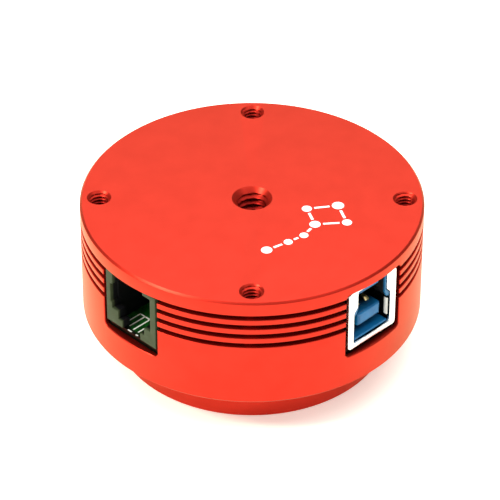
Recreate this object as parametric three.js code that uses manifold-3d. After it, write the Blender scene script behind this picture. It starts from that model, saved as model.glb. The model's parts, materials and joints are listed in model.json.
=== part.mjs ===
// Round astronomy camera, passively cooled. Millimetres, +Z up.
// The camera stands on its front collar: z = 0 is the collar's rim, the rear face is on top,
// and the optical axis is Z. Both ports point towards -Y, turned 45 degrees to either side.
import * as THREE from 'three';
import { mergeVertices } from 'three/addons/utils/BufferGeometryUtils.js';
import Module from 'manifold-3d';

const wasm = await Module();
wasm.setup();

// ---- driving dimensions ----
const BODY_R = 31;
const COLLAR_H = 7.9;
const BODY_H = 22.3;
const REAR_Z = COLLAR_H + BODY_H;
const COLLAR_R = 25.1;
const BORE_R = 27;
const REAR_PLATE = 2.1;
const CEILING_Z = REAR_Z - REAR_PLATE;
const EDGE = 0.4;
const FRONT_CHAMFER = 0.5;

const GROOVE_DEPTHS = [9.3, 7.3, 5.3, 3.3];
const GROOVE_W = 0.96;
const GROOVE_R = BODY_R - 1.4;

const TRIPOD_R = 2.55;
const TRIPOD_MOUTH_R = 3.65;
const TRIPOD_DEPTH = 7.8;
const TRIPOD_BOSS_R = 6;
const TRIPOD_BOSS_Z = REAR_Z - TRIPOD_DEPTH - 1.6;

const M4_R = 1.65;
const M4_MOUTH_R = 2.15;
const M4_DEPTH = 7;
const M4_CIRCLE_R = 27.5;
const WALL_BOSS_R = 3.2;

const PLATE_R = 29.5;
const MOUTH_R = PLATE_R + 0.3;
const PLATE_TOP = 9.9;
const SHOULDER_Z = 10;
const PLATE_SCREW_CIRCLE_R = 27.65;
const M2_R = 1;
const M2_HOLE_R = 1.1;

const THREAD_R = 20.6;
const THREAD_DEPTH = 5;
const INNER_FACE_Z = 5.8;
const WINDOW_R = 16;
const APERTURE_R = 12.8;
const HUB_R = 19;
const HUB_TOP = 11;

const SENSOR_PLANE = 12.5;
const BOARD_Z = 13.6;
const BOARD_T = 1.6;
const BOARD_TOP = BOARD_Z + BOARD_T;
const BOARD_R = 24.6;
const TAB_HALF_W = 6.4;
const TAB_END = 29.3;
const STANDOFF_CIRCLE_R = 21.3;

const USB_ANGLE = Math.PI / 4;
const GUIDE_ANGLE = -USB_ANGLE;
const PORT_ANGLES = [USB_ANGLE, GUIDE_ANGLE];
const PORT_FACE = 30.1;
const PORT_BOTTOM = BOARD_TOP + 0.1;
const USB_TOP = 27.8;
const GUIDE_TOP = 27;
const WINDOW_BOTTOM = 14.4;
const WINDOW_GAP = 0.25;
const WINDOW_HALF_W = 6.8;
const WINDOW_CORNER_R = 0.9;

const ROUND = 60;
const MEDIUM = 32;
const SMALL = 16;
const QUARTER_TURNS = [0, 1, 2, 3].map((i) => (i * Math.PI) / 2);

// ---- materials ----
const material = (colour, roughness, metalness) =>
  new THREE.MeshStandardMaterial({ color: colour, roughness, metalness });
const RED = () => material(0xd8321f, 0.42, 0.6);
const STEEL = () => material(0xb9bcc0, 0.35, 0.9);
const BRIGHT_STEEL = () => material(0xe6e8ea, 0.2, 0.95);
const GOLD = () => material(0xd9b04a, 0.28, 0.9);
const BRASS = () => material(0xc2a050, 0.35, 0.85);
const RUBBER = () => material(0x17181a, 0.85, 0);
const CHIP = () => material(0x1d1e21, 0.55, 0);
const BOARD = () => material(0x14532d, 0.4, 0.1);
const BLUE = () => material(0x1f63b4, 0.5, 0);
const GREY_GREEN = () => material(0x59604f, 0.6, 0);
const CERAMIC = () => material(0x6d6a78, 0.6, 0);
const SILICON = () => material(0x3b3350, 0.15, 0.4);
const BLACK_METAL = () => material(0x222326, 0.5, 0.6);
const CAPACITOR = () => material(0xb88a3a, 0.6, 0);
const GLASS = () => {
  const glass = material(0xdfe9ec, 0.05, 0);
  glass.transparent = true;
  glass.opacity = 0.35;
  return glass;
};

// ---- geometry helpers ----
const camera = new THREE.Group();

function place(name, geometry, finish, group = camera, x = 0, y = 0, z = 0) {
  const mesh = new THREE.Mesh(geometry, finish);
  mesh.name = name;
  mesh.position.set(x, y, z);
  group.add(mesh);
}

function solid(geometry) {
  const bare = geometry.clone();
  bare.deleteAttribute('normal');
  bare.deleteAttribute('uv');
  const merged = mergeVertices(bare, 1e-5);
  const corners = merged.index.array;
  const triangles = [];
  for (let i = 0; i < corners.length; i += 3) {
    const [a, b, c] = [corners[i], corners[i + 1], corners[i + 2]];
    if (a !== b && b !== c && c !== a) triangles.push(a, b, c);
  }
  return new wasm.Manifold(new wasm.Mesh({
    numProp: 3,
    vertProperties: new Float32Array(merged.attributes.position.array),
    triVerts: new Uint32Array(triangles),
  }));
}

function geometryOf(body) {
  const mesh = body.getMesh();
  const geometry = new THREE.BufferGeometry();
  geometry.setAttribute('position', new THREE.BufferAttribute(mesh.vertProperties, 3));
  geometry.setIndex(new THREE.BufferAttribute(mesh.triVerts, 1));
  return geometry;
}

function cut(base, ...tools) {
  return geometryOf(tools.reduce((body, tool) => body.subtract(solid(tool)), solid(base)));
}

function join(base, ...pieces) {
  return geometryOf(pieces.reduce((body, piece) => body.add(solid(piece)), solid(base)));
}

// Turns a profile of [radius, height] points about Z.
function turned(points, segments) {
  const profile = points.map(([r, z]) => new THREE.Vector2(r, z));
  return new THREE.LatheGeometry(profile, segments).rotateX(Math.PI / 2);
}

// A ring of rectangular section.
function ring(inner, outer, low, high, segments) {
  return turned([[inner, low], [outer, low], [outer, high], [inner, high], [inner, low]], segments);
}

function rod(radius, low, high, segments = SMALL) {
  return turned([[0, low], [radius, low], [radius, high], [0, high]], segments);
}

function block(x0, x1, y0, y1, z0, z1) {
  const box = new THREE.BoxGeometry(x1 - x0, y1 - y0, z1 - z0);
  return box.translate((x0 + x1) / 2, (y0 + y1) / 2, (z0 + z1) / 2);
}

function outline(points) {
  return new THREE.Shape(points.map(([x, z]) => new THREE.Vector2(x, z)));
}

// In a port's own frame -Y points out of the camera. An outline in X and Z is extruded
// between two distances from the camera's axis.
function outward(shape, from, to) {
  const geometry = new THREE.ExtrudeGeometry(shape, { depth: to - from, bevelEnabled: false });
  return geometry.rotateX(Math.PI / 2).translate(0, -from, 0);
}

function roundedRectangle(halfWidth, low, high, radius) {
  const shape = new THREE.Shape();
  const right = halfWidth - radius;
  shape.absarc(right, low + radius, radius, -Math.PI / 2, 0);
  shape.absarc(right, high - radius, radius, 0, Math.PI / 2);
  shape.absarc(-right, high - radius, radius, Math.PI / 2, Math.PI);
  shape.absarc(-right, low + radius, radius, Math.PI, 1.5 * Math.PI);
  return shape;
}

// A flat strip bent along points of [distance from axis, height], made to a width along X.
function bentStrip(path, thickness, width) {
  const half = thickness / 2;
  const left = [];
  const right = [];
  path.forEach(([q, z], i) => {
    const [q0, z0] = path[Math.max(i - 1, 0)];
    const [q1, z1] = path[Math.min(i + 1, path.length - 1)];
    const length = Math.hypot(q1 - q0, z1 - z0);
    const normal = [(-(z1 - z0) / length) * half, ((q1 - q0) / length) * half];
    left.push([q + normal[0], z + normal[1]]);
    right.unshift([q - normal[0], z - normal[1]]);
  });
  const section = outline([...left, ...right]);
  const strip = new THREE.ExtrudeGeometry(section, { depth: width, bevelEnabled: false });
  strip.translate(0, 0, -width / 2);
  strip.rotateX(Math.PI / 2);
  return strip.rotateZ(-Math.PI / 2);
}

function atCircle(geometry, radius, angle) {
  return geometry.clone().translate(radius, 0, 0).rotateZ(angle);
}

const portGroup = (angle) => {
  const group = new THREE.Group();
  group.rotation.z = angle;
  camera.add(group);
  return group;
};

// ---- housing ----
function grooveProfile() {
  return GROOVE_DEPTHS.flatMap((depth) => {
    const low = REAR_Z - depth - GROOVE_W / 2;
    const high = low + GROOVE_W;
    return [[BODY_R, low], [GROOVE_R, low], [GROOVE_R, high], [BODY_R, high]];
  });
}

function rearHousing() {
  const cup = turned([
    [0, TRIPOD_BOSS_Z], [TRIPOD_BOSS_R, TRIPOD_BOSS_Z], [TRIPOD_BOSS_R, CEILING_Z],
    [BORE_R, CEILING_Z], [BORE_R, SHOULDER_Z], [MOUTH_R, SHOULDER_Z], [MOUTH_R, COLLAR_H],
    [BODY_R - FRONT_CHAMFER, COLLAR_H], [BODY_R, COLLAR_H + FRONT_CHAMFER],
    ...grooveProfile(),
    [BODY_R, REAR_Z - EDGE], [BODY_R - EDGE, REAR_Z],
    [TRIPOD_MOUTH_R, REAR_Z], [TRIPOD_R, REAR_Z - 0.7],
    [TRIPOD_R, REAR_Z - TRIPOD_DEPTH], [0, REAR_Z - TRIPOD_DEPTH],
  ], ROUND);
  const boss = rod(WALL_BOSS_R, SHOULDER_Z, CEILING_Z + 0.5, SMALL);
  const bossReach = 0.6;
  const bosses = QUARTER_TURNS.map((angle) => atCircle(boss, M4_CIRCLE_R - bossReach, angle));
  const m4Hole = turned([
    [0, REAR_Z - M4_DEPTH], [M4_R, REAR_Z - M4_DEPTH], [M4_R, REAR_Z - 0.5],
    [M4_MOUTH_R, REAR_Z], [M4_MOUTH_R, REAR_Z + 1], [0, REAR_Z + 1],
  ], SMALL);
  const screwHole = rod(M2_HOLE_R, SHOULDER_Z - 1, SHOULDER_Z + 3.6);
  const studHole = rod(M2_HOLE_R, CEILING_Z - 1, CEILING_Z + 1.5);
  const portHole = (top) => outward(
    roundedRectangle(WINDOW_HALF_W, WINDOW_BOTTOM, top, WINDOW_CORNER_R), 22, BODY_R + 2);
  const holes = QUARTER_TURNS.flatMap((angle) => [
    atCircle(m4Hole, M4_CIRCLE_R, angle),
    atCircle(screwHole, PLATE_SCREW_CIRCLE_R, angle),
    atCircle(studHole, STANDOFF_CIRCLE_R, angle),
  ]);
  const tabChannel = block(-TAB_HALF_W - 0.3, TAB_HALF_W + 0.3, -TAB_END - 0.3, -20, SHOULDER_Z - 0.5, 15);
  const portCuts = [
    portHole(CEILING_Z).rotateZ(USB_ANGLE),
    portHole(GUIDE_TOP + WINDOW_GAP).rotateZ(GUIDE_ANGLE),
    ...PORT_ANGLES.map((angle) => tabChannel.clone().rotateZ(angle)),
  ];
  return cut(join(cup, ...bosses), ...holes, ...portCuts);
}

function frontPlate() {
  const plate = turned([
    [THREAD_R + 0.5, 0], [COLLAR_R - EDGE, 0], [COLLAR_R, EDGE], [COLLAR_R, COLLAR_H],
    [PLATE_R, COLLAR_H], [PLATE_R, PLATE_TOP], [HUB_R, PLATE_TOP], [HUB_R, HUB_TOP],
    [APERTURE_R, HUB_TOP], [APERTURE_R, HUB_TOP - 0.9], [WINDOW_R + 0.3, HUB_TOP - 0.9],
    [WINDOW_R + 0.3, INNER_FACE_Z + 1.25], [WINDOW_R + 1.5, INNER_FACE_Z + 1.25],
    [WINDOW_R + 1.5, INNER_FACE_Z], [THREAD_R + 0.6, INNER_FACE_Z], [THREAD_R + 0.6, THREAD_DEPTH],
    [THREAD_R, THREAD_DEPTH], [THREAD_R, 0.5], [THREAD_R + 0.5, 0],
  ], ROUND);
  const screwHole = turned([
    [0, COLLAR_H - 1], [1.65, COLLAR_H - 1], [1.65, COLLAR_H + 1.3], [M2_HOLE_R, COLLAR_H + 1.3],
    [M2_HOLE_R, PLATE_TOP + 1], [0, PLATE_TOP + 1],
  ], SMALL);
  return cut(plate, ...QUARTER_TURNS.map((angle) => atCircle(screwHole, PLATE_SCREW_CIRCLE_R, angle)));
}

// A screw with its head below and its shank pointing up, and a hexagonal drive in the head.
function screw(headRadius, headLow, headHigh, tip) {
  const body = turned([
    [0, headLow], [headRadius, headLow], [headRadius, headHigh], [M2_R, headHigh], [M2_R, tip], [0, tip],
  ], SMALL);
  return cut(body, rod(0.75, headLow - 1, headLow + 0.6, 6));
}

function housing() {
  place('rear_housing', rearHousing(), RED());
  place('front_plate', frontPlate(), RED());
  const plateScrew = screw(1.5, COLLAR_H + 0.2, COLLAR_H + 1.2, SHOULDER_Z + 3);
  QUARTER_TURNS.forEach((angle, i) => {
    place(`plate_screw_${i + 1}`, atCircle(plateScrew, PLATE_SCREW_CIRCLE_R, angle), STEEL());
  });
}

// ---- optical window and sensor ----
function frontWindow() {
  const ringLow = INNER_FACE_Z + 0.1;
  const glassLow = INNER_FACE_Z + 1.3;
  const glassHigh = glassLow + 2;
  const slot = block(13, 18, -0.8, 0.8, ringLow - 1, ringLow + 0.6);
  const clamp = ring(14.6, WINDOW_R + 1.2, ringLow, ringLow + 1.1, MEDIUM);
  place('window_ring', cut(clamp, slot, slot.clone().rotateZ(Math.PI)), BLACK_METAL());
  place('window_glass', rod(WINDOW_R, glassLow, glassHigh, MEDIUM), GLASS());
  place('window_seal', ring(13.4, 15.6, glassHigh + 0.1, HUB_TOP - 1, MEDIUM), RUBBER());
}

function imageSensor() {
  const top = BOARD_Z - 0.1;
  const dieBack = SENSOR_PLANE + 0.4;
  const mask = cut(block(-11, 11, -10, 10, HUB_TOP + 0.1, top), block(-8.5, 8.5, -7.2, 7.2, 0, 20));
  place('sensor_mask', mask, RUBBER());
  const cup = cut(block(-8, 8, -6.7, 6.7, SENSOR_PLANE - 0.5, top),
    block(-6.4, 6.4, -5, 5, SENSOR_PLANE - 2, dieBack + 0.1));
  place('sensor_package', cup, CERAMIC());
  place('sensor_die', block(-4.1, 4.1, -2.9, 2.9, SENSOR_PLANE, dieBack), SILICON());
  place('sensor_cover_glass', block(-7.3, 7.3, -5.9, 5.9, SENSOR_PLANE - 1.1, SENSOR_PLANE - 0.6), GLASS());
}

// ---- circuit board ----
function boardWithFixings() {
  const tab = block(-TAB_HALF_W, TAB_HALF_W, -TAB_END, -15, BOARD_Z, BOARD_TOP);
  const tabs = PORT_ANGLES.map((angle) => tab.clone().rotateZ(angle));
  const disc = join(rod(BOARD_R, BOARD_Z, BOARD_TOP, ROUND), ...tabs);
  const hole = rod(M2_HOLE_R, BOARD_Z - 1, BOARD_TOP + 1);
  const notch = rod(WALL_BOSS_R + 0.4, BOARD_Z - 1, BOARD_TOP + 1);
  const tools = QUARTER_TURNS.flatMap((angle) => [
    atCircle(hole, STANDOFF_CIRCLE_R, angle),
    atCircle(notch, M4_CIRCLE_R - 0.6, angle),
  ]);
  place('main_board', cut(disc, ...tools), BOARD());
  const pillar = join(
    new THREE.CylinderGeometry(2.2, 2.2, CEILING_Z - BOARD_TOP - 0.2, 6)
      .rotateX(Math.PI / 2).translate(0, 0, (CEILING_Z + BOARD_TOP) / 2),
    rod(M2_R, CEILING_Z - 1, CEILING_Z + 1.3));
  const standoff = cut(pillar, rod(M2_HOLE_R, BOARD_TOP - 1, BOARD_TOP + 4));
  const boardScrew = screw(1.9, BOARD_Z - 1.2, BOARD_Z - 0.1, BOARD_TOP + 3.4);
  QUARTER_TURNS.forEach((angle, i) => {
    place(`standoff_${i + 1}`, atCircle(standoff, STANDOFF_CIRCLE_R, angle), BRASS());
    place(`board_screw_${i + 1}`, atCircle(boardScrew, STANDOFF_CIRCLE_R, angle), STEEL());
  });
}

function component(name, x, y, width, length, height, finish) {
  const bottom = BOARD_TOP + 0.1;
  const half = [width / 2, length / 2];
  place(name, block(-half[0], half[0], -half[1], half[1], bottom, bottom + height), finish, camera, x, y);
}

function components() {
  component('frame_processor', 6.6, 5.6, 12, 12, 1.5, CHIP());
  component('usb_controller', -7.4, 5.8, 10, 10, 1.2, CHIP());
  component('memory_chip', 8.6, 16.4, 9, 7, 1.1, CHIP());
  component('flash_chip', -5.4, 15, 6, 5, 1.6, CHIP());
  component('oscillator', -12, 14.4, 5, 3.2, 1.2, STEEL());
  component('optocoupler_1', -3.2, -4.8, 5, 4, 2, CHIP());
  component('optocoupler_2', 3.2, -4.8, 5, 4, 2, CHIP());
  component('inductor_1', -16.8, 8, 4, 4, 2.2, BLACK_METAL());
  component('inductor_2', -17.4, 3.4, 4, 4, 2.2, BLACK_METAL());
  component('capacitor_1', 16.4, 8, 3.5, 2.8, 1.9, CAPACITOR());
  component('capacitor_2', 16.4, 4, 3.5, 2.8, 1.9, CAPACITOR());
}

// ---- USB 3 type B socket ----
function usbPort() {
  const port = portGroup(USB_ANGLE);
  const halfWidth = 6.02;
  const back = PORT_FACE - 17.6;
  const mouth = outline([
    [-4.6, 16.3], [4.6, 16.3], [4.6, 23], [3.7, 24], [3.7, 27.25], [-3.7, 27.25], [-3.7, 24], [-4.6, 23],
  ]);
  const can = roundedRectangle(halfWidth, PORT_BOTTOM, USB_TOP, 0.5);
  place('usb_shell', cut(outward(can, back, PORT_FACE), outward(mouth, back + 1, PORT_FACE + 1)),
    BRIGHT_STEEL(), port);

  const core = outline([
    [-4.3, 16.6], [4.3, 16.6], [4.3, 22.9], [3.55, 23.8],
    [3.55, 27.1], [-3.55, 27.1], [-3.55, 23.8], [-4.3, 22.9],
  ]);
  const coreFront = back + 7;
  const tongueTop = 21.4;
  const tongueLow = tongueTop - 3.2;
  const tongueFront = PORT_FACE - 0.85;
  const upperLow = 25.5;
  const upperTop = 27.1;
  const tongue = outward(outline([[-2.8, tongueLow], [2.8, tongueLow], [2.8, tongueTop], [-2.8, tongueTop]]),
    back + 2, tongueFront);
  const upperLiner = outward(outline([
    [-3.55, 24.1], [-3, 24.1], [-3, upperLow], [3, upperLow], [3, 24.1], [3.55, 24.1],
    [3.55, upperTop], [-3.55, upperTop],
  ]), back + 2, PORT_FACE - 1.65);
  const floor = outward(outline([[-4.3, 16.6], [4.3, 16.6], [4.3, 17.1], [-4.3, 17.1]]),
    back + 2, PORT_FACE - 1.2);
  place('usb_insulator', join(outward(core, back + 1.3, coreFront), tongue, upperLiner, floor), BLUE(), port);

  const strip = (low, high, front, half) =>
    outward(outline([[-half, low], [half, low], [half, high], [-half, high]]), coreFront + 0.1, front);
  const lowSides = [[tongueTop + 0.05, tongueTop + 0.3], [tongueLow - 0.3, tongueLow - 0.05]];
  lowSides.forEach(([low, high], row) => {
    [-1.25, 1.25].forEach((x, column) => {
      const number = row * 2 + column + 1;
      place(`usb_contact_${number}`, strip(low, high, tongueFront - 1.85, 0.5), GOLD(), port, x);
    });
  });
  [-2, -1, 0, 1, 2].forEach((step, i) => {
    place(`usb_fast_contact_${i + 1}`, strip(upperLow - 0.3, upperLow - 0.05, PORT_FACE - 2.4, 0.3),
      GOLD(), port, step);
  });
}

// ---- guide socket, 6 positions and 6 contacts ----
function guidePort() {
  const port = portGroup(GUIDE_ANGLE);
  const halfWidth = 6.3;
  const back = PORT_FACE - 16.1;
  const lipBack = PORT_FACE - 1.8;
  const bodyHalf = 4.9;
  const latchHalf = 3.3;
  const slotHalf = 2.25;
  const wiresHalf = 3;
  const mouthTop = 26.05;
  const recessTop = 26.6;
  const recess = [
    [bodyHalf, mouthTop], [wiresHalf, mouthTop], [wiresHalf, recessTop],
    [-wiresHalf, recessTop], [-wiresHalf, mouthTop], [-bodyHalf, mouthTop],
  ];
  const mouth = outline([
    [-slotHalf, 14], [slotHalf, 14], [slotHalf, 17.3], [latchHalf, 17.3], [latchHalf, 19],
    [bodyHalf, 19], ...recess, [-bodyHalf, 19],
    [-latchHalf, 19], [-latchHalf, 17.3], [-slotHalf, 17.3],
  ]);
  const chamber = outline([[-bodyHalf, 14], [bodyHalf, 14], ...recess]);
  const shell = roundedRectangle(halfWidth, PORT_BOTTOM, GUIDE_TOP, 0.3);
  const underLip = outline([
    [-halfWidth - 1, 14], [halfWidth + 1, 14], [halfWidth + 1, 15.8], [-halfWidth - 1, 15.8],
  ]);
  place('jack_housing', cut(outward(shell, back, PORT_FACE), outward(mouth, lipBack - 1, PORT_FACE + 1),
    outward(chamber, back + 0.8, lipBack), outward(underLip, lipBack, PORT_FACE + 1)), GREY_GREEN(), port);

  const wireHigh = 26.3;
  const wireBack = back + 1.6;
  const path = [
    [wireBack, PORT_BOTTOM], [wireBack, wireHigh - 0.7], [wireBack + 0.7, wireHigh],
    [lipBack - 1.1, wireHigh], [lipBack - 0.5, wireHigh - 0.5], [lipBack - 1, wireHigh - 1.1],
    [lipBack - 8, wireHigh - 4.4],
  ];
  const wire = bentStrip(path, 0.35, 0.45);
  const pitch = 1.02;
  [-2.5, -1.5, -0.5, 0.5, 1.5, 2.5].forEach((step, i) => {
    place(`jack_contact_${i + 1}`, wire, GOLD(), port, step * pitch);
  });
}

housing();
frontWindow();
imageSensor();
boardWithFixings();
components();
usbPort();
guidePort();

export default camera;
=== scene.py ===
"""Looks of the round red astronomy camera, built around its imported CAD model.

Lengths are in millimetres until a mesh is made, where MM turns them into metres.
+Z is the optical axis towards the rear face, and both sockets face -Y, turned 45 degrees to either side.
"""

import json
import math

import bmesh
import bpy
import numpy as np
from mathutils import Matrix, Vector
from mathutils.geometry import tessellate_polygon


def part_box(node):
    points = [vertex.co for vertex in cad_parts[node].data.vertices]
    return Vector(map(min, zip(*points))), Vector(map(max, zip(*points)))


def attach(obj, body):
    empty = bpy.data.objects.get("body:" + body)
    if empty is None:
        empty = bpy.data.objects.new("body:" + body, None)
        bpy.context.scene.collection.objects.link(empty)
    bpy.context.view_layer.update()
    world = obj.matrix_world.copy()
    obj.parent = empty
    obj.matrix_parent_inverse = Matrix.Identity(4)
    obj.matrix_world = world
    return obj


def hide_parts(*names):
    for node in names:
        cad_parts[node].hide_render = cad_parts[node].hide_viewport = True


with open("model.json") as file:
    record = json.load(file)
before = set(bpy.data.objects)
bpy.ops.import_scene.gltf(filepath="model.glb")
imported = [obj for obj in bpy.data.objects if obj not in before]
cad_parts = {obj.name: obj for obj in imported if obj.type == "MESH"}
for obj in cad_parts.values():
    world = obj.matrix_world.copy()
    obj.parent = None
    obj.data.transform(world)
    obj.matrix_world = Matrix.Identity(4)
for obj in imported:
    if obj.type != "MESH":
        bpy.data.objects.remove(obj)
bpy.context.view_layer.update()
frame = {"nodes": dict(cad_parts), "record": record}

MM = 0.001
SCENE = bpy.context.scene
TURN = 2 * math.pi

# ---- sizes read from the frame ----
housing_low, housing_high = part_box("rear_housing")
plate_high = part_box("front_plate")[1]
usb_low, usb_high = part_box("usb_shell")
jack_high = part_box("jack_housing")[1]
board_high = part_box("main_board")[1]
glass_low, glass_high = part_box("window_glass")
ring_low, ring_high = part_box("window_ring")
seal_low, seal_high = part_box("window_seal")

BODY_R = housing_high.x / MM
REAR_Z = housing_high.z / MM
COLLAR_H = housing_low.z / MM
PLATE_R = plate_high.x / MM
HUB_TOP = plate_high.z / MM
SOCKET_LOW = usb_low.z / MM
USB_TOP = usb_high.z / MM
GUIDE_TOP = jack_high.z / MM
BOARD_TOP = board_high.z / MM

# ---- housing and front plate, as in the CAD model ----
COLLAR_R = 25.1
BORE_R = 27
CEILING_Z = REAR_Z - 2.1
SHOULDER_Z = 10
PLATE_TOP = SHOULDER_Z - 0.1
MOUTH_R = PLATE_R + 0.3
EDGE = 0.4
GROOVE_DEPTHS = (9.3, 7.3, 5.3, 3.3)
GROOVE_W = 0.96
GROOVE_R = BODY_R - 1.4
TRIPOD_BOSS_R = 6
TRIPOD_DEPTH = 7.8
TRIPOD_TIP = 0.8
TRIPOD_FLOOR = 1.6
TRIPOD_MINOR = 2.55
TRIPOD_MOUTH = 3.65
TRIPOD_PITCH = 1.27
TRIPOD_THREAD = 0.62
M4_CIRCLE = 27.5
M4_MINOR = 1.62
M4_MOUTH = 2.2
M4_PITCH = 0.7
M4_THREAD = 0.38
M4_DEPTH = 7
M4_TIP = 0.6
M4_BOSS_R = 3.2
M4_BOSS_CIRCLE = M4_CIRCLE - 0.6
COLLAR_THREAD_R = 20.6
COLLAR_PITCH = 0.75
COLLAR_THREAD = 0.42
SCREW_CIRCLE = 27.65
SCREW_HEAD_R = 1.65
SCREW_HEAD_TOP = COLLAR_H + 1.3
SCREW_SHANK_R = 1.1
WINDOW_HALF = 6.8
WINDOW_LOW = 14.4
WINDOW_CORNER = 0.9
WINDOW_GAP = 0.25
WINDOW_CHAMFER = 0.14
TAB_HALF = 6.7
TAB_END = 29.6
TAB_TOP = 15
INNER_FACE_Z = 5.8
HUB_R = 19
HUB_BORE_R = 12.8
HUB_LIP = 0.9
GLASS_SEAT_R = 16.3
RING_SEAT_R = 17.5
RING_SEAT_Z = INNER_FACE_Z + 1.25
RING_BORE_R = 14.6
SEAL_BORE_R = 13.4

# ---- sockets ----
USB_ANGLE = math.radians(45)
GUIDE_ANGLE = -USB_ANGLE
SOCKET_FACE = 30.1
USB_BACK = SOCKET_FACE - 17.6
USB_HALF = 6.02
USB_WALL = 1
USB_TONGUE_END = SOCKET_FACE - 0.85
USB_CONTACT_START = USB_BACK + 7.1
USB_CONTACT_END = USB_TONGUE_END - 1.85
USB_CORE_TOP = 27.1
GUIDE_BACK = SOCKET_FACE - 16.1
GUIDE_HALF = 6.3
GUIDE_LIP = SOCKET_FACE - 1.8


# ---------------------------------------------------------------- mesh helpers

def make_object(name, verts, faces):
    """A mesh object from points in millimetres."""
    mesh = bpy.data.meshes.new(name)
    mesh.from_pydata([Vector(v) * MM for v in verts], [], faces)
    obj = bpy.data.objects.new(name, mesh)
    SCENE.collection.objects.link(obj)
    tidy_mesh(obj)
    return obj


def tidy_mesh(obj, smooth_angle=32):
    """Merges doubles, points faces outward, and marks edges sharper than an angle in degrees."""
    bm = bmesh.new()
    bm.from_mesh(obj.data)
    bmesh.ops.remove_doubles(bm, verts=bm.verts, dist=1e-6)
    bmesh.ops.dissolve_degenerate(bm, dist=1e-7, edges=bm.edges)
    bmesh.ops.recalc_face_normals(bm, faces=bm.faces)
    limit = math.radians(smooth_angle)
    for face in bm.faces:
        face.smooth = True
    for edge in bm.edges:
        edge.smooth = len(edge.link_faces) == 2 and edge.calc_face_angle(0) < limit
    bm.to_mesh(obj.data)
    bm.free()


def boolean(obj, tool, operation):
    """Cuts or joins with another object, which is used up."""
    modifier = obj.modifiers.new("cut", "BOOLEAN")
    modifier.operation = operation
    modifier.solver = "EXACT"
    modifier.object = tool
    bpy.context.view_layer.update()
    evaluated = obj.evaluated_get(bpy.context.evaluated_depsgraph_get())
    result = bpy.data.meshes.new_from_object(evaluated)
    obj.modifiers.clear()
    old = obj.data
    obj.data = result
    bpy.data.meshes.remove(old)
    bpy.data.objects.remove(tool)
    return obj


def merged(name, objects):
    """Several objects' meshes in one object."""
    bm = bmesh.new()
    for obj in objects:
        piece = obj.data.copy()
        piece.transform(obj.matrix_world)
        bm.from_mesh(piece)
        bpy.data.meshes.remove(piece)
        bpy.data.objects.remove(obj)
    mesh = bpy.data.meshes.new(name)
    bm.to_mesh(mesh)
    bm.free()
    joined = bpy.data.objects.new(name, mesh)
    SCENE.collection.objects.link(joined)
    return joined


def turned_about_z(obj, angle, x=0.0, y=0.0):
    """Moves an object's mesh by a distance in millimetres, then turns it about Z."""
    obj.data.transform(Matrix.Rotation(angle, 4, "Z") @ Matrix.Translation(Vector((x, y, 0)) * MM))
    return obj


def rounded(corners, closed=False, steps=5):
    """A polyline from (x, y) or (x, y, radius) corners, with an arc where there is a radius."""
    points = []
    count = len(corners)
    for i, corner in enumerate(corners):
        here = Vector(corner[:2])
        radius = corner[2] if len(corner) > 2 else 0
        ends = not closed and i in (0, count - 1)
        if radius == 0 or ends:
            points.append(tuple(here))
            continue
        before = (Vector(corners[i - 1][:2]) - here).normalized()
        after = (Vector(corners[(i + 1) % count][:2]) - here).normalized()
        half = before.angle(after) / 2
        centre = here + (before + after).normalized() * radius / math.sin(half)
        start = here + before * radius / math.tan(half) - centre
        finish = here + after * radius / math.tan(half) - centre
        sweep = start.angle_signed(finish)
        for k in range(steps + 1):
            turn = -sweep * k / steps
            cos, sin = math.cos(turn), math.sin(turn)
            points.append((
                centre.x + start.x * cos - start.y * sin,
                centre.y + start.x * sin + start.y * cos,
            ))
    return points


def lathe(name, profile, segments, closed=False):
    """Turns a profile of (radius, z) about Z. For threads, a radius may be a function of the angles."""
    angles = np.arange(segments) * TURN / segments
    verts, rows = [], []
    for radius, z in profile:
        radii = radius(angles) if callable(radius) else np.full(segments, float(radius))
        if np.all(radii < 1e-9):
            rows.append([len(verts)])
            verts.append((0, 0, z))
            continue
        rows.append(range(len(verts), len(verts) + segments))
        verts += list(zip(radii * np.cos(angles), radii * np.sin(angles), np.full(segments, z)))
    pairs = list(zip(rows, rows[1:]))
    if closed:
        pairs.append((rows[-1], rows[0]))
    faces = []
    for low, high in pairs:
        for i in range(segments):
            j = (i + 1) % segments
            if len(low) == 1 and len(high) == 1:
                break
            if len(low) == 1:
                faces.append((low[0], high[j], high[i]))
            elif len(high) == 1:
                faces.append((low[i], low[j], high[0]))
            else:
                faces.append((low[i], low[j], high[j], high[i]))
    return make_object(name, verts, faces)


def thread_rows(minor, depth, pitch, top, bottom, mouth, rows_per_turn):
    """Profile rows of a female thread from top to bottom. Mouth is its chamfer's radius, or None."""
    count = math.ceil((top - bottom) / pitch * rows_per_turn)
    crest, flank = 0.12, 0.7

    def radius_at(z):
        cone = -1 if mouth is None else mouth - (top - z)

        def radius(angles):
            phase = (z / pitch + angles / TURN) % 1
            ramp = np.abs(phase * 2 - 1)
            shape = np.clip((ramp - crest) / flank, 0, 1)
            return np.maximum(minor + depth * shape, cone)

        return radius

    heights = [top - (top - bottom) * i / count for i in range(count + 1)]
    return [(radius_at(z), z) for z in heights]


def offset_outline(points, distance):
    """A closed outline moved to its left, which is inward for a counter-clockwise one."""
    moved = []
    count = len(points)
    for i in range(count):
        a, b, c = (Vector(points[k % count]) for k in (i - 1, i, i + 1))
        first, second = (b - a).normalized(), (c - b).normalized()
        n0, n1 = Vector((-first.y, first.x)), Vector((-second.y, second.x))
        moved.append(tuple(b + (n0 + n1) * distance / (1 + n0.dot(n1))))
    return moved


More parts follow.
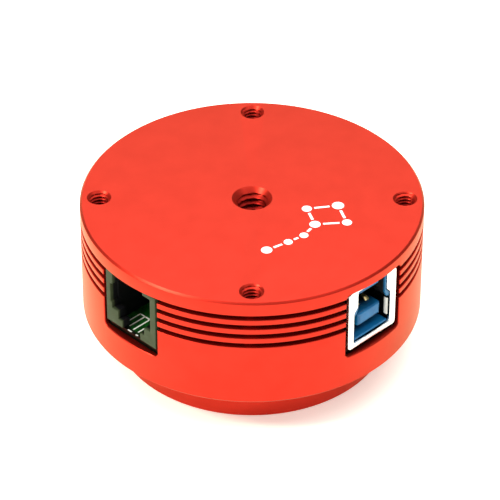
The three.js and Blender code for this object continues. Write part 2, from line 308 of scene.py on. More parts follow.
def strip_outline(path, thickness):
    """Both sides of a path of points, a thickness apart."""
    left, right = [], []
    for i, here in enumerate(path):
        before = Vector(path[max(i - 1, 0)])
        after = Vector(path[min(i + 1, len(path) - 1)])
        along = (after - before).normalized()
        side = Vector((-along.y, along.x)) * thickness / 2
        left.append(tuple(Vector(here) + side))
        right.insert(0, tuple(Vector(here) - side))
    return left + right


def signed_area(points):
    return sum(a[0] * b[1] - b[0] * a[1] for a, b in zip(points, points[1:] + points[:1])) / 2


def extruded(name, outer, low, high, holes=(), low_edge=0.0, high_edge=0.0):
    """Extrudes an outline with holes along Z, with rounded edges at either end."""
    edge_steps = 3
    loops = [outer if signed_area(outer) > 0 else outer[::-1]]
    loops += [hole if signed_area(hole) < 0 else hole[::-1] for hole in holes]
    turns = [math.pi / 2 * k / edge_steps for k in range(edge_steps + 1)]
    levels = [(low + low_edge * (1 - math.sin(t)), low_edge * (1 - math.cos(t))) for t in reversed(turns)]
    levels += [(high - high_edge * (1 - math.sin(t)), high_edge * (1 - math.cos(t))) for t in turns]
    levels = list(dict.fromkeys(levels))
    verts, faces, starts = [], [], []
    for loop in loops:
        starts.append(len(verts))
        for z, inset in levels:
            ring = offset_outline(loop, inset) if inset else loop
            verts += [(x, y, z) for x, y in ring]
        size = len(loop)
        for level in range(len(levels) - 1):
            base = starts[-1] + level * size
            for i in range(size):
                j = (i + 1) % size
                faces.append((base + i, base + j, base + size + j, base + size + i))
    for level, flip in ((0, True), (len(levels) - 1, False)):
        index, rings = [], []
        for loop, start in zip(loops, starts):
            ring = range(start + level * len(loop), start + (level + 1) * len(loop))
            index += ring
            rings.append([Vector((*verts[v][:2], 0)) for v in ring])
        for triangle in tessellate_polygon(rings):
            corners = tuple(index[t] for t in triangle)
            faces.append(corners[::-1] if flip else corners)
    return make_object(name, verts, faces)


def loft(name, sections):
    """A closed solid through sections with the same number of points, with flat ends."""
    size = len(sections[0])
    verts = [point for section in sections for point in section]
    faces = []
    for level in range(len(sections) - 1):
        base = level * size
        for i in range(size):
            j = (i + 1) % size
            faces.append((base + i, base + j, base + size + j, base + size + i))
    faces.append(tuple(range(size))[::-1])
    faces.append(tuple(range(len(verts) - size, len(verts))))
    return make_object(name, verts, faces)


def facing_out(obj, angle):
    """Takes a shape drawn in (x, height) and extruded along Z to a socket, with Z pointing outward."""
    obj.data.transform(Matrix.Rotation(angle, 4, "Z") @ Matrix.Rotation(math.pi / 2, 4, "X"))
    return obj


def with_axes_swapped(obj, first, second, smooth_angle=32):
    """Exchanges two axes of an object's mesh, for a shape drawn in another plane."""
    rows = [list(row) for row in Matrix.Identity(4)]
    rows[first], rows[second] = rows[second], rows[first]
    obj.data.transform(Matrix(rows))
    tidy_mesh(obj, smooth_angle)
    return obj


def shifted_x(obj, x):
    """Moves an object's mesh along X by a distance in millimetres."""
    obj.data.transform(Matrix.Translation((x * MM, 0, 0)))
    return obj


def rectangle(half, low, high, radius=0.0):
    """An outline from -half to half and from low to high, with rounded corners."""
    corners = ((-half, low), (half, low), (half, high), (-half, high))
    return rounded([(*corner, radius) for corner in corners], True)


# ---------------------------------------------------------------- materials

class Paint:
    """A material's nodes, with short ways to add them."""

    def __init__(self, name):
        self.material = bpy.data.materials.new(name)
        self.material.use_nodes = True
        self.tree = self.material.node_tree
        self.shader = self.tree.nodes["Principled BSDF"]
        self.place = self.tree.nodes.new("ShaderNodeTexCoord").outputs["Object"]

    def link(self, source, target):
        self.tree.links.new(source, target)

    def set(self, **values):
        for key, value in values.items():
            self.shader.inputs[key.replace("_", " ")].default_value = value

    def noise(self, size_mm, detail, stretch=(1, 1, 1)):
        mapping = self.tree.nodes.new("ShaderNodeMapping")
        mapping.inputs["Scale"].default_value = [axis / (size_mm * MM) for axis in stretch]
        self.link(self.place, mapping.inputs["Vector"])
        noise = self.tree.nodes.new("ShaderNodeTexNoise")
        noise.inputs["Scale"].default_value = 1.0
        noise.inputs["Detail"].default_value = detail
        noise.inputs["Roughness"].default_value = 0.5
        self.link(mapping.outputs["Vector"], noise.inputs["Vector"])
        return noise.outputs["Fac"]

    def ramp(self, factor, stops):
        node = self.tree.nodes.new("ShaderNodeValToRGB")
        elements = node.color_ramp.elements
        while len(elements) < len(stops):
            elements.new(0.5)
        for element, (position, colour) in zip(elements, stops):
            element.position = position
            element.color = (*colour, 1)
        self.link(factor, node.inputs["Fac"])
        return node.outputs["Color"]

    def spread(self, factor, low, high, start=0.0, end=1.0):
        node = self.tree.nodes.new("ShaderNodeMapRange")
        node.inputs["From Min"].default_value = start
        node.inputs["From Max"].default_value = end
        node.inputs["To Min"].default_value = low
        node.inputs["To Max"].default_value = high
        self.link(factor, node.inputs["Value"])
        return node.outputs["Result"]

    def mixed(self, factor, first, second):
        node = self.tree.nodes.new("ShaderNodeMix")
        node.data_type = "RGBA"
        self.link(factor, node.inputs["Factor"])
        node.inputs["A"].default_value = (*first, 1)
        self.link(second, node.inputs["B"])
        return node.outputs["Result"]

    def outermost(self, inner, outer, low=None, high=None):
        """Rises from nought to one between two distances from the axis, or between two heights."""
        split = self.tree.nodes.new("ShaderNodeSeparateXYZ")
        self.link(self.place, split.inputs["Vector"])
        flat = self.tree.nodes.new("ShaderNodeCombineXYZ")
        self.link(split.outputs["X"], flat.inputs["X"])
        self.link(split.outputs["Y"], flat.inputs["Y"])
        radius = self.tree.nodes.new("ShaderNodeVectorMath")
        radius.operation = "LENGTH"
        self.link(flat.outputs["Vector"], radius.inputs[0])
        wall = self.spread(radius.outputs["Value"], 0, 1, inner * MM, outer * MM)
        if low is None:
            return wall
        face = self.spread(split.outputs["Z"], 0, 1, low * MM, high * MM)
        larger = self.tree.nodes.new("ShaderNodeMath")
        larger.operation = "MAXIMUM"
        self.link(wall, larger.inputs[0])
        self.link(face, larger.inputs[1])
        return larger.outputs["Value"]

    def colour(self, factor, stops):
        self.link(self.ramp(factor, stops), self.shader.inputs["Base Color"])

    def roughness(self, factor, low, high):
        self.link(self.spread(factor, low, high), self.shader.inputs["Roughness"])

    def bump(self, height, strength, depth_mm):
        node = self.tree.nodes.new("ShaderNodeBump")
        node.inputs["Strength"].default_value = strength
        node.inputs["Distance"].default_value = depth_mm * MM
        self.link(height, node.inputs["Height"])
        self.link(node.outputs["Normal"], self.shader.inputs["Normal"])


def anodised(name, deep, bright, painted_recess_shade=None):
    """Satin anodised aluminium. If given, the dark colour is painted shade in its grooves, holes and
    windows.
    """
    paint = Paint(name)
    grain = paint.noise(0.12, 3)
    skin = paint.ramp(paint.noise(5, 3), [(0.35, deep), (0.65, bright)])
    if painted_recess_shade:
        # Painted shade: full colour on the round wall and on the rear face, and dark below either of them,
        # in the grooves, holes and windows.
        unshaded_mask = paint.outermost(BODY_R - 1.3, BODY_R - 0.08, REAR_Z - 2.2, REAR_Z - 0.1)
        skin = paint.mixed(unshaded_mask, painted_recess_shade, skin)
    paint.link(skin, paint.shader.inputs["Base Color"])
    paint.roughness(grain, 0.34, 0.44)
    paint.bump(grain, 0.16, 0.012)
    paint.set(Metallic=0.92, Specular_Tint=(1, 0.95, 0.7, 1))
    paint.set(Coat_Weight=0.04, Coat_Roughness=0.3, Coat_IOR=1.5)
    return paint.material


def metal(name, deep, bright, rough=(0.2, 0.32), inside=None):
    """Bare or plated metal. Inside is as for plastic: painted shade deeper in a socket."""
    paint = Paint(name)
    grain = paint.noise(0.2, 3)
    skin = paint.ramp(grain, [(0.3, deep), (0.7, bright)])
    if inside:
        # Painted shade, dark deeper inside a socket.
        skin = paint.mixed(paint.outermost(*inside), (0.01, 0.01, 0.012), skin)
    paint.link(skin, paint.shader.inputs["Base Color"])
    paint.roughness(grain, *rough)
    paint.bump(grain, 0.1, 0.01)
    paint.set(Metallic=1.0)
    return paint.material


def plastic(name, deep, bright, rough=(0.35, 0.5), grain_mm=0.15, inside=None, gloss=0.5):
    """Moulded plastic. Between the two distances from the axis in inside, a socket fades to painted shade.
    """
    paint = Paint(name)
    grain = paint.noise(grain_mm, 4)
    skin = paint.ramp(paint.noise(2.5, 3), [(0.35, deep), (0.65, bright)])
    if inside:
        # Painted shade, dark deeper inside a socket.
        skin = paint.mixed(paint.outermost(*inside), (0.002, 0.002, 0.003), skin)
    paint.link(skin, paint.shader.inputs["Base Color"])
    paint.roughness(grain, *rough)
    paint.bump(grain, 0.2, 0.01)
    paint.set(Specular_IOR_Level=gloss)
    return paint.material


def circuit_board(name):
    """Green solder mask with copper tracks showing faintly through it, with painted shade on its edge beyond
    the guide socket's lip.
    """
    paint = Paint(name)
    tracks = paint.noise(0.5, 0, stretch=(1, 0.25, 1))
    mask = paint.ramp(tracks, [(0.46, (0.002, 0.045, 0.004)), (0.5, (0.004, 0.085, 0.008))])
    # Painted shade on the board's edge beyond the guide socket's lip.
    skin = paint.mixed(paint.outermost(28.75, 28.35), (0.003, 0.004, 0.002), mask)
    paint.link(skin, paint.shader.inputs["Base Color"])
    paint.roughness(paint.noise(0.3, 3), 0.25, 0.4)
    paint.bump(tracks, 0.3, 0.03)
    return paint.material


def clear_glass(name):
    paint = Paint(name)
    smear = paint.noise(6, 2)
    paint.colour(smear, [(0.3, (0.93, 0.97, 0.96)), (0.7, (0.97, 0.99, 1.0))])
    paint.roughness(smear, 0.01, 0.03)
    paint.set(Transmission_Weight=1.0, IOR=1.5)
    return paint.material


def sensor_silicon(name):
    """Dark violet silicon with the fine grid of its pixels."""
    paint = Paint(name)
    grid = paint.noise(0.1, 0, stretch=(1, 20, 1))
    paint.colour(grid, [(0.3, (0.03, 0.015, 0.06)), (0.7, (0.07, 0.03, 0.12))])
    paint.roughness(grid, 0.12, 0.2)
    paint.set(Metallic=0.5)
    return paint.material


RED = ((0.5, 0.023, 0.012), (0.53, 0.026, 0.014))
NICKEL = ((0.86, 0.86, 0.84), (0.95, 0.95, 0.93))

# Inside is a pair of distances from the axis in millimetres, with the dark one first; the dark is painted
# shade deep in a socket.
MATERIALS = {
    # The red housing's dark colour is painted shade in its grooves, holes and windows.
    "red": anodised("red_anodised", *RED, painted_recess_shade=(0.2, 0.003, 0.002)),
    "red_front": anodised("red_anodised_front", *RED),
    "black_metal": anodised("black_anodised", (0.012, 0.012, 0.014), (0.02, 0.02, 0.022)),
    "steel": metal("screw_steel", (0.5, 0.5, 0.51), (0.66, 0.66, 0.66)),
    "bright": metal("bright_nickel", *NICKEL, (0.22, 0.32)),
    "shell": metal("shell_nickel", *NICKEL, (0.22, 0.32), inside=(29.85, 30.08)),
    "gold": metal("gold_plate", (0.8, 0.5, 0.14), (0.9, 0.62, 0.22)),
    # A lighter copy of the gold plate: painted light for the contacts deep in the USB socket.
    "painted_light_gold": metal("bright_gold_plate", (0.95, 0.74, 0.3), (1.0, 0.84, 0.42), (0.28, 0.4)),
    "tin": plastic(
        "matt_tin_plate", (0.93, 0.93, 0.86), (0.97, 0.97, 0.92), (0.35, 0.45), inside=(29.0, 29.25)),
    "brass": metal("turned_brass", (0.6, 0.42, 0.16), (0.72, 0.52, 0.22)),
    "rubber": plastic("black_rubber", (0.012, 0.012, 0.012), (0.02, 0.02, 0.02), (0.7, 0.9)),
    "chip": plastic("chip_resin", (0.014, 0.014, 0.016), (0.026, 0.026, 0.028), (0.45, 0.6)),
    "blue": plastic(
        "blue_plastic", (0.003, 0.12, 0.31), (0.004, 0.15, 0.37), (0.3, 0.42),
        inside=(26.5, 28.8), gloss=0.3),
    "blue_rail": plastic(
        "blue_rail_plastic", (0.004, 0.125, 0.3), (0.006, 0.15, 0.34), inside=(29.45, 29.8)),
    "grey": plastic(
        "grey_green_plastic", (0.034, 0.046, 0.02), (0.044, 0.058, 0.028), (0.5, 0.65),
        inside=(29.7, 30.05), gloss=0.15),
    "ceramic": plastic("sensor_ceramic", (0.12, 0.1, 0.14), (0.17, 0.15, 0.19), (0.4, 0.6)),
    "tan": plastic("capacitor_resin", (0.42, 0.22, 0.05), (0.55, 0.3, 0.08)),
    "white_ink": plastic("white_ink", (0.82, 0.82, 0.8), (0.92, 0.92, 0.9), (0.5, 0.65), 0.08),
    "board": circuit_board("green_board"),
    "glass": clear_glass("window_glass"),
    "silicon": sensor_silicon("sensor_silicon"),
}


def finish_piece(obj, material, slot, *nodes):
    """Gives a piece its material, lets it ride on the camera, and hides the nodes it stands for; the slot is
    not used.
    """
    obj.data.materials.clear()
    obj.data.materials.append(MATERIALS[material])
    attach(obj, "root")
    if nodes:
        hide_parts(*nodes)
    return obj


# ---------------------------------------------------------------- housing

def groove_corners():
    lip, foot = 0.1, 0.12
    corners = []
    for depth in GROOVE_DEPTHS:
        low = REAR_Z - depth - GROOVE_W / 2
        high = low + GROOVE_W
        corners += [(BODY_R, low, lip), (GROOVE_R, low, foot), (GROOVE_R, high, foot), (BODY_R, high, lip)]
    return corners


def housing_blank():
    boss_z = REAR_Z - TRIPOD_DEPTH - TRIPOD_FLOOR
    inside = [
        (0, boss_z), (TRIPOD_BOSS_R, boss_z, 0.4), (TRIPOD_BOSS_R, CEILING_Z, 0.6), (BORE_R, CEILING_Z, 0.6),
        (BORE_R, SHOULDER_Z), (MOUTH_R, SHOULDER_Z), (MOUTH_R, COLLAR_H, 0.15),
    ]
    outside = [(BODY_R - 0.5, COLLAR_H, 0.08), (BODY_R, COLLAR_H + 0.5, 0.15), *groove_corners()]
    rim = [(BODY_R, REAR_Z - EDGE, 0.15), (BODY_R - EDGE, REAR_Z, 0.15), (TRIPOD_MOUTH, REAR_Z)]
    thread = thread_rows(
        TRIPOD_MINOR, TRIPOD_THREAD, TRIPOD_PITCH, REAR_Z, REAR_Z - TRIPOD_DEPTH, TRIPOD_MOUTH, 14)
    drill_tip = [(0, REAR_Z - TRIPOD_DEPTH - TRIPOD_TIP)]
    return lathe("rear_housing_body", rounded(inside + outside + rim)[:-1] + thread + drill_tip, 288)


def m4_tool(i):
    bore = thread_rows(M4_MINOR, M4_THREAD, M4_PITCH, REAR_Z, REAR_Z - M4_DEPTH, M4_MOUTH, 10)
    above = [(0, REAR_Z + 1), (M4_MOUTH + 1, REAR_Z + 1)]
    tool = lathe(f"m4_tool_{i}", above + bore + [(0, REAR_Z - M4_DEPTH - M4_TIP)], 64)
    return turned_about_z(tool, i * math.pi / 2, M4_CIRCLE)


def wall_boss(i):
    """Metal for a screw hole at either end, joined to the inside of the round wall."""
    top = CEILING_Z + 0.5
    profile = [(0, SHOULDER_Z), (M4_BOSS_R, SHOULDER_Z), (M4_BOSS_R, top), (0, top)]
    return turned_about_z(lathe(f"wall_boss_{i}", profile, 48), i * math.pi / 2, M4_BOSS_CIRCLE)


def window_tool(angle, top):
    """Cuts a socket's window, with a fine chamfer that follows the round wall."""
    corners = [
        (-WINDOW_HALF, WINDOW_LOW, WINDOW_CORNER), (WINDOW_HALF, WINDOW_LOW, WINDOW_CORNER),
        (WINDOW_HALF, top, WINDOW_CORNER), (-WINDOW_HALF, top, WINDOW_CORNER),
    ]
    corner_points = rounded(corners, True, 6)
    outline = []
    for a, b in zip(corner_points, corner_points[1:] + corner_points[:1]):
        parts = max(1, round(abs(b[0] - a[0]) / 0.5))
        start, step = np.array(a), np.array(b) - np.array(a)
        outline += [tuple(start + step * k / parts) for k in range(parts)]
    beyond = 0.1
    sections = [[(x, -22, z) for x, z in outline]]
    for radius, grow in ((BODY_R - WINDOW_CHAMFER, 0), (BODY_R + beyond, WINDOW_CHAMFER + beyond)):
        wider = offset_outline(outline, -grow)
        sections.append([(x, -math.sqrt(radius**2 - x**2), z) for x, z in wider])
    widest = offset_outline(outline, -WINDOW_CHAMFER - beyond)
    sections.append([(x, -BODY_R - 2, z) for x, z in widest])
    return turned_about_z(loft("window_tool", sections), angle)


def tab_channel(angle):
    """Cuts the way for one tab of the main board, in the inside of the wall below a window."""
    tool = extruded("tab_channel", rectangle(TAB_HALF, -TAB_END, -20), SHOULDER_Z - 0.5, TAB_TOP)
    return turned_about_z(tool, angle)


def rear_housing():
    body = housing_blank()
    boolean(body, merged("bosses", [wall_boss(i) for i in range(4)]), "UNION")
    boolean(body, merged("m4_tools", [m4_tool(i) for i in range(4)]), "DIFFERENCE")
    for angle, top in ((USB_ANGLE, CEILING_Z), (GUIDE_ANGLE, GUIDE_TOP + WINDOW_GAP)):
        boolean(body, tab_channel(angle), "DIFFERENCE")
        boolean(body, window_tool(angle, top), "DIFFERENCE")
    tidy_mesh(body, 34)
    finish_piece(body, "red", "red_anodised", "rear_housing")


def screw_tool(i):
    """Cuts a front plate screw's hole and the seat of its head."""
    profile = [
        (0, COLLAR_H - 1), (SCREW_HEAD_R, COLLAR_H - 1), (SCREW_HEAD_R, SCREW_HEAD_TOP),
        (SCREW_SHANK_R, SCREW_HEAD_TOP), (SCREW_SHANK_R, PLATE_TOP + 1), (0, PLATE_TOP + 1),
    ]
    return turned_about_z(lathe("screw_hole", profile, 40), i * math.pi / 2, SCREW_CIRCLE)


def front_plate():
    relief_r = COLLAR_THREAD_R + 0.6
    outside = rounded([
        (COLLAR_THREAD_R + 0.5, 0), (COLLAR_R - EDGE, 0, 0.12), (COLLAR_R, EDGE, 0.12),
        (COLLAR_R, COLLAR_H, 0.25), (PLATE_R, COLLAR_H, 0.15), (PLATE_R, PLATE_TOP), (HUB_R, PLATE_TOP),
        (HUB_R, HUB_TOP), (HUB_BORE_R, HUB_TOP), (HUB_BORE_R, HUB_TOP - HUB_LIP),
        (GLASS_SEAT_R, HUB_TOP - HUB_LIP), (GLASS_SEAT_R, RING_SEAT_Z), (RING_SEAT_R, RING_SEAT_Z),
        (RING_SEAT_R, INNER_FACE_Z, 0.1), (relief_r, INNER_FACE_Z, 0.15), (relief_r, 5),
    ])
    thread = thread_rows(COLLAR_THREAD_R, COLLAR_THREAD, COLLAR_PITCH, 4.95, 0.1, None, 10)
    plate = lathe("front_plate_body", outside + thread, 288, closed=True)
    boolean(plate, merged("screw_holes", [screw_tool(i) for i in range(4)]), "DIFFERENCE")
    tidy_mesh(plate)
    finish_piece(plate, "red_front", "red_anodised", "front_plate")


# ---------------------------------------------------------------- rear marking

def rear_marking():
    """A generic constellation in white ink: seven round stars joined by thin lines."""
    stars = [  # x, y and radius
        (2.6, -15.6, 1.0), (6.4, -13.2, 0.8), (9.2, -11.2, 0.8), (11.2, -7.9, 1.0),
        (9.8, -3.2, 0.9), (15.4, -2.2, 1.1), (16.9, -7.3, 0.9),
    ]
    order = [0, 1, 2, 3, 4, 5, 6, 3]
    half, gap = 0.24, 0.45
    low, high = REAR_Z - 0.02, REAR_Z + 0.012
    parts = []
    for x, y, radius in stars:
        dot = lathe("star", [(0, low), (radius, low), (radius, high), (0, high)], 40)
        parts.append(turned_about_z(dot, 0, x, y))
    for a, b in zip(order, order[1:]):
        start, end = Vector(stars[a][:2]), Vector(stars[b][:2])
        along = (end - start).normalized()
        side = Vector((-along.y, along.x)) * half
        start, end = start + along * (stars[a][2] + gap), end - along * (stars[b][2] + gap)
        corners = [tuple(start - side), tuple(end - side), tuple(end + side), tuple(start + side)]
        parts.append(extruded("star_line", corners, low, high))
    finish_piece(merged("rear_marking", parts), "white_ink", "red_anodised")


# ---------------------------------------------------------------- USB socket

def usb_mouth():
    """The mouth of a type B shell, narrower above two slanting shoulders."""
    half, neck, low, high = 4.6, 3.7, 16.3, 27.25
    shoulder, waist = 23, 24
    return rounded([
        (-half, low, 0.5), (half, low, 0.7), (half, shoulder, 0.4), (neck, waist, 0.4),
        (neck, high, 0.3), (-neck, high, 0.3), (-neck, waist, 0.4), (-half, shoulder, 0.4),
    ], True)


def usb_shell():
    outer = rectangle(USB_HALF, SOCKET_LOW, USB_TOP, 0.8)
    shell = extruded(
        "usb_shell_body", outer, USB_BACK + USB_WALL, SOCKET_FACE, [usb_mouth()], high_edge=0.18)
    back = extruded("usb_shell_back", outer, USB_BACK, USB_BACK + USB_WALL + 0.2)
    boolean(shell, back, "UNION")
    slots = []
    for x in (-4.95, 4.95):
        slot = extruded("spring_slot", rectangle(0.55, 17.4, 21.7, 0.1), 25.2, 29.85)
        slots.append(shifted_x(slot, x))
    boolean(shell, merged("spring_slots", slots), "DIFFERENCE")
    tidy_mesh(shell)
    finish_piece(facing_out(shell, USB_ANGLE), "shell", "socket_steel", "usb_shell")


def usb_springs():
    """One spring tab in each side wall of the shell, bowed towards the plug."""
    reach = [(25.6, 5.25), (27.4, 4.9), (28.5, 4.5), (28.8, 4.3), (29.2, 4.27), (29.55, 4.38)]
    thick = 0.16
    for name, side in (("left", -1), ("right", 1)):
        inner = [(side * x, q) for q, x in reach]
        outer = [(side * (x + thick), q) for q, x in reversed(reach)]
        tab = extruded(f"usb_spring_{name}", inner + outer, 17.75, 21.35)
        with_axes_swapped(tab, 1, 2, smooth_angle=40)
        finish_piece(facing_out(tab, USB_ANGLE), "tin", "socket_steel")


def usb_side_rails():
    """The insulator's thin walls along the shell's neck and shoulders."""
    rails = []
    for side in (-1, 1):
        rail = rounded([
            (side * 3.4, USB_CORE_TOP), (side * 3.4, 23.3, 0.15), (side * 3.9, 22.2, 0.15),
            (side * 4.5, 22.2, 0.1), (side * 4.5, 22.9, 0.1), (side * 3.65, 23.9, 0.1),
            (side * 3.65, USB_CORE_TOP)], True)
        rails.append(extruded("rail", rail, USB_BACK + 2, SOCKET_FACE - 0.3, high_edge=0.1))
    side_rails = merged("usb_side_rails", rails)
    tidy_mesh(side_rails)
    finish_piece(facing_out(side_rails, USB_ANGLE), "blue_rail", "socket_blue")


def usb_insulator():
    """The core at the back of the socket, with the tongue, the upper tongue and the floor strip."""
    half, neck, shoulder, waist = 4.3, 3.55, 22.9, 23.8
    core = rounded([
        (-half, 16.6, 0.3), (half, 16.6, 0.3), (half, shoulder, 0.2), (neck, waist, 0.2),
        (neck, USB_CORE_TOP, 0.1), (-neck, USB_CORE_TOP, 0.1), (-neck, waist, 0.2),
        (-half, shoulder, 0.2)], True)
    body = extruded("usb_insulator_body", core, USB_BACK + 1.3, USB_BACK + 7)
    for name, outline, end, edge in (
        ("tongue", rectangle(2.8, 18.75, 21.4, 0.2), USB_TONGUE_END, 0.45),
        ("upper_tongue", rectangle(2.65, 25.45, USB_CORE_TOP, 0.1), SOCKET_FACE - 1.2, 0.1),
        ("floor_strip", rectangle(half, 16.4, 16.9, 0.15), SOCKET_FACE - 0.5, 0.12),
    ):
        boolean(body, extruded(name, outline, USB_BACK + 2, end, high_edge=edge), "UNION")
    tidy_mesh(body)
    finish_piece(facing_out(body, USB_ANGLE), "blue", "socket_blue", "usb_insulator")


def flat_contact(node, x, section, end, edge, look):
    """A straight contact strip. Its section is half its width, its low and high sides, and a radius."""
    strip = extruded(f"{node}_body", rectangle(*section), USB_CONTACT_START, end, high_edge=edge)
    finish_piece(facing_out(shifted_x(strip, x), USB_ANGLE), look, "contact_gold", node)


def usb_contacts():
    """Two crowned contacts on the tongue, two flat ones below it, and five under the upper tongue."""
    flat_z = 21.57
    crown = rounded([
        (USB_CONTACT_START, flat_z), (25.4, flat_z), (26.1, 22.05, 0.5), (27.0, 22.05, 0.4),
        (27.6, 21.6)], False, 6)
    crown_outline = strip_outline(crown, 0.26)
    for i, x in enumerate((-1.25, 1.25)):
        strip = extruded(
            f"usb_contact_{i + 1}_body", crown_outline, x - 0.5, x + 0.5, low_edge=0.1, high_edge=0.1)
        with_axes_swapped(strip, 0, 2)
        finish_piece(facing_out(strip, USB_ANGLE), "painted_light_gold", "contact_gold", f"usb_contact_{i + 1}")
    lower, fast = (0.5, 18.45, 18.73, 0.1), (0.3, 25.15, 25.42, 0.08)
    for i, x in enumerate((-1.25, 1.25)):
        flat_contact(f"usb_contact_{i + 3}", x, lower, USB_CONTACT_END, 0.12, "painted_light_gold")
    for i, x in enumerate((-2, -1, 0, 1, 2)):
        flat_contact(f"usb_fast_contact_{i + 1}", x, fast, 27.7, 0.1, "gold")


# ---------------------------------------------------------------- guide socket

def guide_housing():
    """The jack: a front lip with the plug's stepped mouth, and an open-bottomed chamber behind it."""
    top, low, foot = GUIDE_TOP, SOCKET_LOW, SOCKET_LOW + 0.5
    half, latch, slot, wires = 4.9, 3.3, 2.25, 3
    slot_top, latch_top, mouth_top, recess_top = 17.3, 19, 26.05, 26.6
    lip = rounded([
        (-GUIDE_HALF, foot, 0.15), (-slot, foot, 0.1), (-slot, slot_top, 0.1), (-latch, slot_top, 0.1),
        (-latch, latch_top, 0.1), (-half, latch_top, 0.1), (-half, 20.2, 0.1), (-half - 0.35, 20.4, 0.1),
        (-half - 0.35, 24.2, 0.1), (-half + 0.25, 24.4, 0.1), (-half + 0.25, recess_top),
        (wires, recess_top), (wires, mouth_top), (half, mouth_top, 0.1), (half, latch_top, 0.1),
        (latch, latch_top, 0.1), (latch, slot_top, 0.1), (slot, slot_top, 0.1), (slot, foot, 0.1),
        (GUIDE_HALF, foot, 0.15), (GUIDE_HALF, top, 0.25), (-GUIDE_HALF, top, 0.25)], True, 3)
    walls = rounded([
        (-GUIDE_HALF, low, 0.25), (-half, low), (-half, mouth_top), (-wires, mouth_top),
        (-wires, recess_top), (wires, recess_top), (wires, mouth_top), (half, mouth_top), (half, low),
        (GUIDE_HALF, low, 0.25), (GUIDE_HALF, top, 0.25), (-GUIDE_HALF, top, 0.25)], True, 3)
    body = extruded("jack_housing_body", walls, GUIDE_BACK + 0.5, GUIDE_LIP + 0.1)
    front = extruded("lip", lip, GUIDE_LIP, SOCKET_FACE, high_edge=0.12)
    back = extruded("back", rectangle(GUIDE_HALF, low, top, 0.25), GUIDE_BACK, GUIDE_BACK + 0.8)
    for piece in (front, back):
        boolean(body, piece, "UNION")
    tidy_mesh(body)
    finish_piece(facing_out(body, GUIDE_ANGLE), "grey", "socket_grey", "jack_housing")


def guide_contacts():
    """Six wires that run forward under the roof, turn at the lip and slant back down."""
    wire_high = 26.3
    wire_back = GUIDE_BACK + 1.6
    path = rounded([
        (wire_back, SOCKET_LOW), (wire_back, wire_high, 0.8), (GUIDE_LIP - 0.4, wire_high, 0.5),
        (GUIDE_LIP - 0.7, wire_high - 1, 0.3), (GUIDE_LIP - 8, wire_high - 4.4)], False, 6)
    outline = strip_outline(path, 0.35)
    half, spacing, edge = 0.225, 1.02, 0.06
    for i in range(6):
        node = f"jack_contact_{i + 1}"
        x = (i - 2.5) * spacing
        wire = extruded(f"{node}_body", outline, x - half, x + half, low_edge=edge, high_edge=edge)
        with_axes_swapped(wire, 0, 2)
        finish_piece(facing_out(wire, GUIDE_ANGLE), "gold", "contact_gold", node)


def board_marking():
    """White lines printed on the board's tab, seen through the guide socket's open floor."""
    half, low, high = 0.14, BOARD_TOP - 0.01, BOARD_TOP + 0.02
    lines = [  # each from and to an (x, distance outward)
        ((-3.65, 24.45), (-3.65, 27.2)), ((-2.45, 24.45), (-2.45, 28.1)), ((-1.2, 24.45), (-1.2, 28.35)),
        ((-0.03, 27), (-0.03, 28.3)), ((-3.65, 24.45), (-1.2, 24.45)),
        ((-1.75, 29.15), (-1.05, 29.15)), ((0.3, 29.15), (0.55, 29.15)),
    ]
    parts = []
    for start, end in lines:
        a, b = Vector(start), Vector(end)
        along = (b - a).normalized()
        side = Vector((-along.y, along.x)) * half
        a, b = a - along * half, b + along * half
        outline = [(p.x, -p.y) for p in (a - side, b - side, b + side, a + side)]
        parts.append(extruded("print_line", outline, low, high))
    marks = turned_about_z(merged("board_marking", parts), GUIDE_ANGLE)
    finish_piece(marks, "white_ink", "board_green")


# ---------------------------------------------------------------- front window and inner pieces

def front_window():
    """The clamping ring with its two key slots, the glass and the seal, from their CAD boxes."""
    outer, low, high = ring_high.x / MM, ring_low.z / MM, ring_high.z / MM
    clamp = lathe("window_ring_body", rounded([
        (RING_BORE_R, low, 0.3), (outer, low, 0.1), (outer, high, 0.1), (RING_BORE_R, high, 0.1),
    ], True), 144, closed=True)
    slots = [extruded("slot", rectangle(0.8, 13, 18), low - 1, low + 0.6) for _ in range(2)]
    turned_about_z(slots[1], math.pi)
    boolean(clamp, merged("slots", slots), "DIFFERENCE")
    tidy_mesh(clamp)
    finish_piece(clamp, "black_metal", "black_metal", "window_ring")
    outer, low, high = glass_high.x / MM, glass_low.z / MM, glass_high.z / MM
    glass = lathe("window_glass_body", rounded([
        (0, low), (outer, low, 0.2), (outer, high, 0.2), (0, high)]), 144)
    finish_piece(glass, "glass", "clear_glass", "window_glass")
    outer, low, high = seal_high.x / MM, seal_low.z / MM, seal_high.z / MM
    seal = lathe("window_seal_body", rounded([
        (SEAL_BORE_R, low, 0.3), (outer, low, 0.3), (outer, high, 0.3), (SEAL_BORE_R, high, 0.3),
    ], True), 144, closed=True)
    finish_piece(seal, "rubber", "black_rubber", "window_seal")


def dress_cad_nodes():
    """Procedural materials for the CAD nodes that stay, by the record's material slots."""
    looks = {
        "red_anodised": "red", "screw_steel": "steel", "socket_steel": "bright", "contact_gold": "gold",
        "pillar_brass": "brass", "black_rubber": "rubber", "chip_black": "chip", "board_green": "board",
        "socket_blue": "blue", "socket_grey": "grey", "ceramic": "ceramic", "silicon": "silicon",
        "clear_glass": "glass", "black_metal": "black_metal", "capacitor_tan": "tan",
    }
    for part in frame["record"]["subparts"]:
        mesh = frame["nodes"][part["node"]].data
        mesh.materials.clear()
        mesh.materials.append(MATERIALS[looks[part["material_slot"]]])


# ---------------------------------------------------------------- floor, light and camera

def floor():
    paint = Paint("white_floor")
    paint.colour(paint.noise(40, 2), [(0.3, (0.94, 0.92, 0.82)), (0.7, (0.96, 0.94, 0.84))])
    paint.set(Roughness=0.9, Emission_Color=(1, 0.98, 0.9, 1), Emission_Strength=0.45)
    half = 3000
    corners = [(-half, -half, 0), (half, -half, 0), (half, half, 0), (-half, half, 0)]
    obj = make_object("floor", corners, [(0, 1, 2, 3)])
    obj.data.materials.append(paint.material)


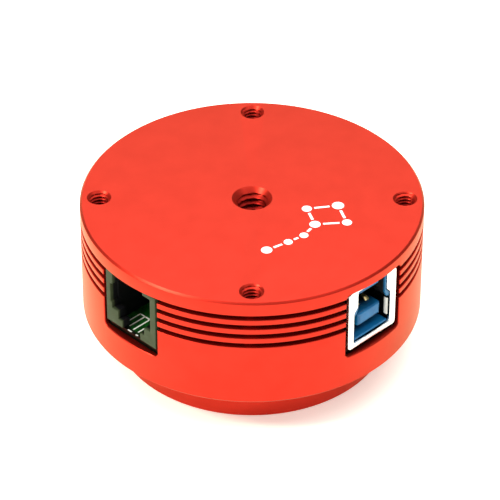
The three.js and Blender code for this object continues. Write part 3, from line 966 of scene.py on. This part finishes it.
def area_light(name, place, size, power, colour=(1, 1, 1)):
    """A rectangular light at a place in metres, aimed at the middle of the object."""
    middle = Vector((0, 0, 0.02))
    light = bpy.data.lights.new(name, "AREA")
    light.shape = "RECTANGLE"
    light.size, light.size_y = size
    light.energy = power
    light.color = colour
    obj = bpy.data.objects.new(name, light)
    SCENE.collection.objects.link(obj)
    obj.location = place
    obj.rotation_euler = (middle - Vector(place)).to_track_quat("-Z", "Y").to_euler()


def lights():
    world = bpy.data.worlds.new("white_room")
    world.use_nodes = True
    background = world.node_tree.nodes["Background"]
    background.inputs["Color"].default_value = (1, 1, 1, 1)
    background.inputs["Strength"].default_value = 0.3
    SCENE.world = world
    area_light("overhead", (0, 0.1, 1.0), (1.8, 1.4), 20.3)
    area_light("back_panel", (0, 1.3, 0.95), (2.2, 1.0), 9)
    area_light("front_fill", (-0.6, -1.0, 0.3), (0.9, 0.4), 3.4)
    area_light("key", (-0.5, -0.24, 0.55), (0.14, 0.14), 3.6, (1, 1, 0.85))


def camera():
    """The photograph's viewpoint: about 549 mm from the rear face, 36 degrees above it, with a long lens."""
    elevation, distance = math.radians(35.785), 0.54892
    pitch, yaw, roll = math.radians(36.76), math.radians(0.0436), math.radians(0.199)
    data = bpy.data.cameras.new("camera")
    data.sensor_width = 36
    data.lens = 219.86
    data.clip_start = 0.01
    obj = bpy.data.objects.new("camera", data)
    SCENE.collection.objects.link(obj)
    away = Vector((0, -math.cos(elevation), math.sin(elevation))) * distance
    aim = Matrix.Rotation(yaw, 4, "Z") @ Matrix.Rotation(math.pi / 2 - pitch, 4, "X")
    turn = aim @ Matrix.Rotation(roll, 4, "Z")
    obj.matrix_world = Matrix.Translation(Vector((0, 0, REAR_Z * MM)) + away) @ turn
    SCENE.camera = obj
    SCENE.view_settings.view_transform = "Standard"


camera()
floor()
lights()
dress_cad_nodes()
rear_housing()
front_plate()
rear_marking()
usb_shell()
usb_springs()
usb_insulator()
usb_side_rails()
usb_contacts()
guide_housing()
guide_contacts()
board_marking()
front_window()
